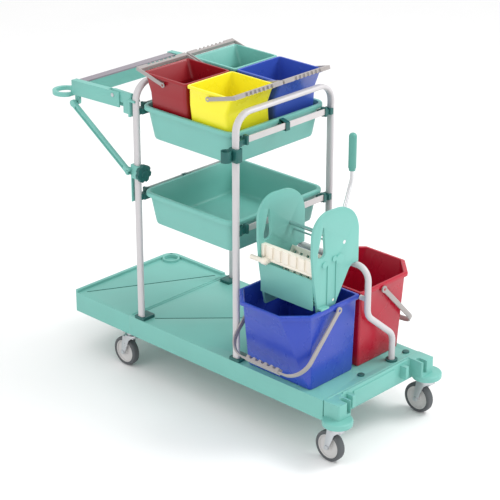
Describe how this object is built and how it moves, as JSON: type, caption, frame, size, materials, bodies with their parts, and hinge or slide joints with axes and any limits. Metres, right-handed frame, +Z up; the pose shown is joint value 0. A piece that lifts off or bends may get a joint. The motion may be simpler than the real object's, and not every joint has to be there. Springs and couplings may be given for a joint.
{
  "type": "housekeeping cart",
  "caption": "Cleaning cart on swivel casters with two trays, small buckets, a folding bag holder and two mop buckets with a lever wringer.",
  "frame": {"origin": "middle of the cart's bounding box, on the floor under the casters", "axes": "+X along the cart to the mop-bucket end, +Y across it to the far side, +Z up"},
  "size_m": [1.265, 0.584, 1.0562],
  "materials": {
    "teal_plastic": "satin moulded",
    "dark_plastic": "satin moulded",
    "coated_tube": "satin powder coat",
    "light_strip": "satin moulded",
    "flap_strip": "satin moulded",
    "zinc_steel": "zinc plated",
    "hub_plastic": "moulded",
    "tyre_rubber": "matte",
    "red_plastic": "satin gloss",
    "deep_red_plastic": "satin gloss",
    "yellow_plastic": "satin gloss",
    "blue_plastic": "satin gloss",
    "ivory_plastic": "moulded",
    "bright_steel": "polished",
    "grip_plastic": "satin moulded"
  },
  "bodies": {
    "cart": {"base_main": "teal_plastic", "bag_platform": "teal_plastic", "end_beam": "teal_plastic", "deck_sockets": "dark_plastic", "frame_left": "coated_tube", "frame_right": "coated_tube", "tray_upper": "teal_plastic", "tray_lower": "teal_plastic", "tray_strips": "light_strip", "tray_brackets": "dark_plastic", "tool_clip": "dark_plastic", "caster_stems": "zinc_steel", "bag_bracket_near": "teal_plastic", "bag_bracket_far": "teal_plastic", "hinge_pins": "zinc_steel", "support_tube": "coated_tube"},
    "bag_holder": {"bag_frame": "teal_plastic", "handle_ring": "teal_plastic"},
    "bag_flap": {"bag_flap": "flap_strip"},
    "strut_near": {"strut_near": "teal_plastic"},
    "collar_near": {"collar_near": "teal_plastic"},
    "clamp_knob_near": {"clamp_knob_near": "dark_plastic"},
    "strut_far": {"strut_far": "teal_plastic"},
    "collar_far": {"collar_far": "teal_plastic"},
    "clamp_knob_far": {"clamp_knob_far": "dark_plastic"},
    "swivel_near_left": {"fork_near_left": "zinc_steel"},
    "wheel_near_left": {"hub_near_left": "hub_plastic", "tyre_near_left": "tyre_rubber"},
    "swivel_far_left": {"fork_far_left": "zinc_steel"},
    "wheel_far_left": {"hub_far_left": "hub_plastic", "tyre_far_left": "tyre_rubber"},
    "swivel_near_right": {"fork_near_right": "zinc_steel"},
    "wheel_near_right": {"hub_near_right": "hub_plastic", "tyre_near_right": "tyre_rubber"},
    "swivel_far_right": {"fork_far_right": "zinc_steel"},
    "wheel_far_right": {"hub_far_right": "hub_plastic", "tyre_far_right": "tyre_rubber"},
    "small_bucket_red": {"small_bucket_red": "red_plastic"},
    "small_bail_red": {"small_bail_red": "light_strip"},
    "small_bucket_yellow": {"small_bucket_yellow": "yellow_plastic"},
    "small_bail_yellow": {"small_bail_yellow": "light_strip"},
    "small_bucket_green": {"small_bucket_green": "teal_plastic"},
    "small_bail_green": {"small_bail_green": "light_strip"},
    "small_bucket_blue": {"small_bucket_blue": "blue_plastic"},
    "small_bail_blue": {"small_bail_blue": "light_strip"},
    "mop_bucket_blue": {"mop_bucket_blue": "blue_plastic"},
    "mop_bail_blue": {"mop_bail_blue": "light_strip"},
    "mop_bucket_red": {"mop_bucket_red": "deep_red_plastic"},
    "mop_bail_red": {"mop_bail_red": "light_strip"},
    "wringer": {"wringer_body": "teal_plastic", "wringer_rods": "bright_steel", "front_jaw": "ivory_plastic"},
    "lever": {"wringer_lever": "bright_steel", "lever_grip": "grip_plastic"},
    "press_jaw": {"press_jaw": "ivory_plastic"}
  },
  "joints": [
    {"name": "bag_holder_fold", "type": "hinge", "parent": "cart", "child": "bag_holder", "pos_m": [-0.3575, 0, 0.945], "axis": [0, 1, 0], "range_deg": [0, 88]},
    {"name": "bag_flap_lift", "type": "hinge", "parent": "bag_holder", "child": "bag_flap", "pos_m": [-0.5445, 0, 0.944], "axis": [0, -1, 0], "range_deg": [0, 90]},
    {"name": "strut_near_turn", "type": "hinge", "parent": "bag_holder", "child": "strut_near", "pos_m": [-0.5365, -0.232, 0.878], "axis": [0, 1, 0], "range_deg": [-60.95, 1]},
    {"name": "collar_near_slide", "type": "slide", "parent": "cart", "child": "collar_near", "axis": [0, 0, 1], "range_m": [0, 0.14644]},
    {"name": "clamp_knob_near_turn", "type": "hinge", "parent": "collar_near", "child": "clamp_knob_near", "pos_m": [-0.243, -0.212, 0.711], "axis": [1, 0, 0], "range_deg": [0, 360]},
    {"name": "strut_far_turn", "type": "hinge", "parent": "bag_holder", "child": "strut_far", "pos_m": [-0.5365, 0.232, 0.878], "axis": [0, 1, 0], "range_deg": [-60.95, 1]},
    {"name": "collar_far_slide", "type": "slide", "parent": "cart", "child": "collar_far", "axis": [0, 0, 1], "range_m": [0, 0.14644]},
    {"name": "clamp_knob_far_turn", "type": "hinge", "parent": "collar_far", "child": "clamp_knob_far", "pos_m": [-0.243, 0.212, 0.711], "axis": [1, 0, 0], "range_deg": [0, 360]},
    {"name": "swivel_near_left", "type": "hinge", "parent": "cart", "child": "swivel_near_left", "pos_m": [-0.3225, -0.203, 0.112], "axis": [0, 0, 1], "continuous": true},
    {"name": "wheel_near_left", "type": "hinge", "parent": "swivel_near_left", "child": "wheel_near_left", "pos_m": [-0.3495, -0.203, 0.05], "axis": [0, 1, 0], "continuous": true},
    {"name": "swivel_far_left", "type": "hinge", "parent": "cart", "child": "swivel_far_left", "pos_m": [-0.3225, 0.203, 0.112], "axis": [0, 0, 1], "continuous": true},
    {"name": "wheel_far_left", "type": "hinge", "parent": "swivel_far_left", "child": "wheel_far_left", "pos_m": [-0.3495, 0.203, 0.05], "axis": [0, 1, 0], "continuous": true},
    {"name": "swivel_near_right", "type": "hinge", "parent": "cart", "child": "swivel_near_right", "pos_m": [0.5855, -0.212, 0.112], "axis": [0, 0, 1], "continuous": true},
    {"name": "wheel_near_right", "type": "hinge", "parent": "swivel_near_right", "child": "wheel_near_right", "pos_m": [0.5585, -0.212, 0.05], "axis": [0, 1, 0], "continuous": true},
    {"name": "swivel_far_right", "type": "hinge", "parent": "cart", "child": "swivel_far_right", "pos_m": [0.5855, 0.212, 0.112], "axis": [0, 0, 1], "continuous": true},
    {"name": "wheel_far_right", "type": "hinge", "parent": "swivel_far_right", "child": "wheel_far_right", "pos_m": [0.5585, 0.212, 0.05], "axis": [0, 1, 0], "continuous": true},
    {"name": "small_bucket_red_lift", "type": "slide", "parent": "cart", "child": "small_bucket_red", "axis": [0, 0, 1], "range_m": [0, 0.25]},
    {"name": "small_bail_red_swing", "type": "hinge", "parent": "small_bucket_red", "child": "small_bail_red", "pos_m": [-0.1445, -0.10725, 1.0213], "axis": [0, 1, 0], "range_deg": [0, 85]},
    {"name": "small_bucket_yellow_lift", "type": "slide", "parent": "cart", "child": "small_bucket_yellow", "axis": [0, 0, 1], "range_m": [0, 0.25]},
    {"name": "small_bail_yellow_swing", "type": "hinge", "parent": "small_bucket_yellow", "child": "small_bail_yellow", "pos_m": [0.0495, -0.10725, 1.0213], "axis": [0, -1, 0], "range_deg": [0, 85]},
    {"name": "small_bucket_green_lift", "type": "slide", "parent": "cart", "child": "small_bucket_green", "axis": [0, 0, 1], "range_m": [0, 0.25]},
    {"name": "small_bail_green_swing", "type": "hinge", "parent": "small_bucket_green", "child": "small_bail_green", "pos_m": [-0.1445, 0.10725, 1.0213], "axis": [0, 1, 0], "range_deg": [0, 85]},
    {"name": "small_bucket_blue_lift", "type": "slide", "parent": "cart", "child": "small_bucket_blue", "axis": [0, 0, 1], "range_m": [0, 0.25]},
    {"name": "small_bail_blue_swing", "type": "hinge", "parent": "small_bucket_blue", "child": "small_bail_blue", "pos_m": [0.0495, 0.10725, 1.0213], "axis": [0, -1, 0], "range_deg": [0, 85]},
    {"name": "mop_bucket_blue_slide", "type": "slide", "parent": "cart", "child": "mop_bucket_blue", "axis": [0, -1, 0], "range_m": [0, 0.25]},
    {"name": "mop_bail_blue_swing", "type": "hinge", "parent": "mop_bucket_blue", "child": "mop_bail_blue", "pos_m": [0.3395, -0.105, 0.4373], "axis": [-1, 0, 0], "range_deg": [0, 95]},
    {"name": "mop_bucket_red_slide", "type": "slide", "parent": "cart", "child": "mop_bucket_red", "axis": [0, 1, 0], "range_m": [0, 0.25]},
    {"name": "mop_bail_red_swing", "type": "hinge", "parent": "mop_bucket_red", "child": "mop_bail_red", "pos_m": [0.3395, 0.105, 0.4373], "axis": [1, 0, 0], "range_deg": [0, 130]},
    {"name": "wringer_lift", "type": "slide", "parent": "mop_bucket_blue", "child": "wringer", "axis": [0, 0, 1], "range_m": [0, 0.3]},
    {"name": "lever_pull", "type": "hinge", "parent": "wringer", "child": "lever", "pos_m": [0.3555, -0.062, 0.6403], "axis": [1, 0, 0], "range_deg": [0, 65]},
    {"name": "press_jaw_swing", "type": "hinge", "parent": "wringer", "child": "press_jaw", "pos_m": [0.3555, -0.108, 0.4673], "axis": [1, 0, 0], "range_deg": [0, 36]}
  ],
  "couplings": [
    {"joint": "strut_near_turn", "follows": "bag_holder_fold", "ratio": -0.68699},
    {"joint": "collar_near_slide", "follows": "bag_holder_fold", "m_per_rad": 0.09502},
    {"joint": "strut_far_turn", "follows": "bag_holder_fold", "ratio": -0.68699},
    {"joint": "collar_far_slide", "follows": "bag_holder_fold", "m_per_rad": 0.09502},
    {"joint": "press_jaw_swing", "follows": "lever_pull", "ratio": 0.54}
  ]
}
